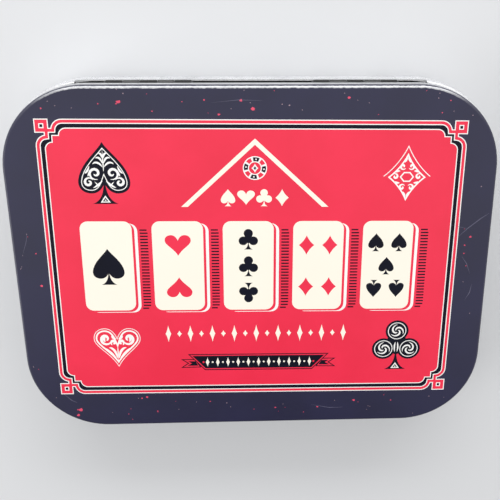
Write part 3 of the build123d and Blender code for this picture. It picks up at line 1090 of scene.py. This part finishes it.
def outer_side(shader):
    """Mask of the surfaces that face away from the object's origin."""
    vectors = {0: shader.coordinates["Normal"], 1: shader.coordinates["Object"]}
    return shader.above(shader.node("VectorMath", vectors, operation="DOT_PRODUCT")["Value"], 0.0)


def near_rear(shader, y, fade, least=0.0):
    """Mask that grows towards the rear side, between two parts of the corner's radius before it."""
    start, end = (LID_HALF[1] - part * LID_CORNER for part in fade)
    return shader.span(y, start, end, least, 1.0)


def lid_metal():
    """Navy lacquer outside, rubbed through at the rear edge to a worn line with a painted highlight, with
    painted shade on the knuckles and the hem's foot over the hinge bay, and clear lacquered tinplate inside.
    """
    shader = Shader("lid_lacquer", Coat_Weight=0.3, Coat_Roughness=0.2)
    x, y, z = shader.axes(shader.place())
    edge = shader.outline_distance(x, y, *LID_HALF, LID_CORNER)
    chips = shader.noise(0.9, detail=4.0, roughness=0.6)
    ragged = shader.math("ADD", edge, shader.span(chips, 0.3, 0.7, -0.1, 0.1))
    rear = near_rear(shader, y, WEAR_HIGHLIGHT_FADE)
    # Worn line along the rear edge of the face, partly wear and partly painted highlight
    face_edge_wear_highlight = shader.all_of(
        shader.span(ragged, *WEAR_HIGHLIGHT_INNER),
        shader.span(ragged, *WEAR_HIGHLIGHT_OUTER, 1.0, 0.0),
        shader.above(z, LID_TOP - WEAR_HIGHLIGHT_DEPTH),
        shader.span(chips, 0.25, 0.6, 0.6, 0.95),
        rear,
        near_rear(shader, y, WEAR_HIGHLIGHT_STRAIGHT, 0.1),
    )
    # The hem is bare at the rear, and its foot over the bay is painted dark as shade
    aside = shader.math("ABSOLUTE", x)
    hem_low = shader.span(aside, BAY_STRAIGHT, BAY_HALF, HEM_LOW, SKIRT_LOW)
    hem = shader.above(edge, -SLACK)
    bead = shader.all_of(hem, shader.under(z, BEAD_TOP), shader.above(z, hem_low), rear)
    foot_high = shader.all_of(shader.under(z, hem_low), shader.above(z, SKIRT_LOW - SLACK))
    hem_foot_shade = shader.all_of(hem, foot_high, shader.above(y, 0.0))
    # Under the skirt the knuckles are bare, with painted shade where the bay and the skirt shade them
    below = shader.under(z, SKIRT_LOW - SLACK)
    shaded = shader.any_of(shader.under(y, BASE_HALF[1] - KNUCKLE_LIP), shader.above(z, KNUCKLE_HIGH))
    # Mask of the painted shade on the knuckles and the hem's foot
    dark = shader.any_of(shader.all_of(below, shaded), hem_foot_shade)
    # Bare tin: the worn line with its painted highlight, the rear bead of the hem and the knuckles under the
    # skirt
    rubbed = shader.any_of(face_edge_wear_highlight, bead, below)
    painted = shader.all_of(outer_side(shader), shader.opposite(rubbed))
    paint = clouded(shader, 0.05, NAVY, NAVY_SHADE)
    covered = shader.mix(painted, tin_colour(shader), paint)
    shader.to("Base Color", shader.mix(dark, covered, BAY_SHADE_COLOUR))
    bare = shader.opposite(shader.any_of(painted, dark))
    dulled = shader.math("MULTIPLY", WEAR_HIGHLIGHT_DULLING, face_edge_wear_highlight)
    metallic = shader.math("SUBTRACT", shader.math("MULTIPLY", LID_METALLIC, bare), dulled, clamp=True)
    shader.to("Metallic", metallic)
    rub(shader)
    shader.bump(rolled_grain(shader), strength=0.06, distance=0.01)
    return shader.material


dress("base_shell", base_metal())
dress("lid_shell", lid_metal())


def pin_wire():
    shader = Shader("pin_wire", Metallic=1.0)
    drawn = shader.noise((0.4, 6.0, 6.0), detail=4.0)
    # The wire is darker than bare steel: painted shade of the hinge bay it lies in
    shader.to("Base Color", shader.mix(drawn, (84, 85, 88), (60, 61, 64)))
    shader.roughen(drawn, 0.25, 0.45)
    return shader.material


for side in ("left", "right"):
    dress(f"hinge_pin_{side}", pin_wire())


# Tray, leaflet and cards
def tray_plastic():
    """Black formed plastic with a fine matt skin."""
    shader = Shader("tray_plastic")
    skin = shader.noise(2.6, detail=4.0, roughness=0.6)
    cloud = shader.noise(0.06)
    shader.to("Base Color", shader.mix(shader.span(cloud, 0.3, 0.7), (22, 22, 24), (30, 30, 32)))
    shader.roughen(skin, 0.34, 0.52)
    shader.bump(skin, strength=0.25, distance=0.03)
    return shader.material


dress("tray", tray_plastic())


def paper(name, colour, shade, roughness=0.75):
    """Shader of paper or card, and its colour before any print."""
    shader = Shader(name)
    fibre = shader.noise(1.4, detail=5.0, roughness=0.7)
    paper_colour = shader.mix(shader.span(fibre, 0.35, 0.7), colour, shade)
    shader.to("Base Color", paper_colour)
    shader.roughen(fibre, roughness - 0.05, roughness + 0.08)
    shader.bump(fibre, strength=0.15, distance=0.02)
    return shader, paper_colour


leaflet_shader, _ = paper("leaflet_paper", (240, 238, 230), (228, 225, 215))
dress("rules_leaflet", leaflet_shader.material)

# Lattice on the backs of the cards. In parts of the pitch, a line starts this far from the middle
# between two lines, and a dot ends where the distances both ways add up to its limit.
CARD_WHITE = (244, 243, 238)
CARD_BORDER = 3.4
LATTICE_PITCH = 3.6
LATTICE_LINE = 0.42
LATTICE_DOT = 0.22
half_card = [(high - low) / 2 / MM for low, high in zip(*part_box("cards_jokers"))]


def card_stock():
    """White card whose upper side has a printed lattice inside a plain border."""
    shader, paper_colour = paper("card_stock", CARD_WHITE, (236, 235, 229), 0.5)
    x, y, _ = shader.axes(shader.place())
    y = shader.minus(y, node_middle("cards_jokers")[1])
    from_line = []
    for operation in ("ADD", "SUBTRACT"):
        part = shader.math("FRACT", shader.math("DIVIDE", shader.math(operation, x, y), LATTICE_PITCH))
        from_line.append(shader.math("ABSOLUTE", shader.minus(part, 0.5)))
    lattice = shader.above(shader.any_of(*from_line), LATTICE_LINE)
    dots = shader.under(shader.math("ADD", *from_line), LATTICE_DOT)
    pattern = shader.mix(shader.any_of(lattice, dots), PRINT_RED, CARD_WHITE)
    _, _, up = shader.axes(shader.coordinates["Normal"])
    back = shader.all_of(
        shader.under(shader.math("ABSOLUTE", x), half_card[0] - CARD_BORDER),
        shader.under(shader.math("ABSOLUTE", y), half_card[1] - CARD_BORDER),
        shader.above(up, 0.5),
    )
    shader.to("Base Color", shader.mix(back, paper_colour, pattern))
    return shader.material


card_material = card_stock()
for suit in ("clubs", "diamonds", "hearts", "spades", "jokers"):
    dress(f"cards_{suit}", card_material)


# Chips, magnets and labels. The spots of a chip lie outside its face, and each chip of a row is
# turned by the fraction of a scaled sine of its number.
SPOTS = 6
SPOT_SHARE = 0.36
CHIP_FACE_RADIUS = 7.4
CHIP_PITCH = 2.7
ROW_START_GAP = 0.05
SINE_STEP = 12.9
SINE_SCALE = 43.7
SHADE_STEP = 14


def chip_turn(shader, along):
    """Turn of the chip at a distance along its row, in parts of the angle between two spots."""
    number = shader.math("FLOOR", shader.math("DIVIDE", along, CHIP_PITCH))
    wave = shader.math("SINE", shader.math("MULTIPLY", number, SINE_STEP))
    return shader.math("FRACT", shader.math("MULTIPLY", wave, SINE_SCALE))


def chip_plastic(name, colour, spot, centre, row_start=None):
    """Moulded chip with spots round its edge: one lying flat, or a row along Y from its start."""
    shader = Shader(name, Coat_Weight=0.1, Coat_Roughness=0.3)
    x, y, z = shader.axes(shader.place())
    across = shader.minus(x, centre[0])
    if row_start is None:
        up = shader.minus(y, centre[1])
        spin = 0.0
    else:
        up = shader.minus(z, centre[2])
        spin = chip_turn(shader, shader.minus(y, row_start))
    turn = shader.math("DIVIDE", shader.math("ARCTAN2", up, across), math.tau / SPOTS)
    part = shader.math("FRACT", shader.math("ADD", shader.math("ADD", turn, spin), SPOTS))
    outer = shader.above(shader.distance(across, up), CHIP_FACE_RADIUS)
    spotted = shader.all_of(shader.under(part, SPOT_SHARE), outer)
    skin = shader.noise(1.2, detail=4.0, roughness=0.6)
    shade = tuple(max(0, channel - SHADE_STEP) for channel in colour)
    body = shader.mix(shader.span(skin, 0.3, 0.7), colour, shade)
    shader.to("Base Color", shader.mix(spotted, body, spot))
    shader.roughen(skin, 0.32, 0.46)
    shader.bump(skin, strength=0.15, distance=0.02)
    return shader.material


# Body and spot colours
CHIP_COLOURS = {
    "white": ((232, 230, 222), (60, 66, 96)),
    "red": ((196, 36, 52), (240, 238, 232)),
    "blue": ((38, 66, 132), (240, 238, 232)),
    "black": ((34, 34, 38), (240, 238, 232)),
}

# The same of the buttons, with the suit mark on each label and its ink
BUTTONS = {
    "dealer": ((236, 234, 226), (28, 30, 36), "spade", "navy"),
    "small_blind": ((38, 66, 132), (240, 238, 232), "club", "navy"),
    "big_blind": ((214, 168, 46), (240, 238, 232), "diamond", "red"),
}
RING_RADIUS = 5.15
RING_LINE = 0.35
BUTTON_MARK_HEIGHT = 6.4


def ferrite():
    shader = Shader("ferrite", Metallic=0.4)
    skin = shader.noise(2.0, detail=5.0, roughness=0.7)
    shader.to("Base Color", shader.mix(skin, (52, 52, 56), (38, 38, 42)))
    shader.roughen(skin, 0.4, 0.6)
    return shader.material


magnet_material = ferrite()
label_shader, _ = paper("label_paper", (246, 244, 238), (238, 236, 228), 0.45)
for colour, (body, spot) in CHIP_COLOURS.items():
    name = f"chips_{colour}"
    row_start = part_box(name)[0][1] / MM - ROW_START_GAP
    dress(name, chip_plastic(f"chip_{colour}", body, spot, node_middle(name), row_start))
    dress(f"chip_magnets_{colour}", magnet_material)
    dress(f"chip_labels_{colour}", label_shader.material)
for role, (body, spot, suit, colour) in BUTTONS.items():
    name, label = f"{role}_button", f"{role}_labels"
    dress(name, chip_plastic(name, body, spot, node_middle(name)))
    dress(f"{role}_magnet", magnet_material)
    dress(label, label_shader.material)
    # The mark and a thin ring round it
    label_x, label_y, _ = node_middle(label)
    label_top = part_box(label)[1][2] / MM
    ring = circle((label_x, label_y), RING_RADIUS, 40)
    marks = [
        (colour, stroke(ring, RING_LINE, closed=True)),
        (colour, pip(suit, (label_x, label_y), BUTTON_MARK_HEIGHT)),
    ]
    inks = {colour: INKS[colour]}
    print_mesh(f"{role}_mark", marks, inks, label_top + INK_RISE, thickness=0.04, body="base")
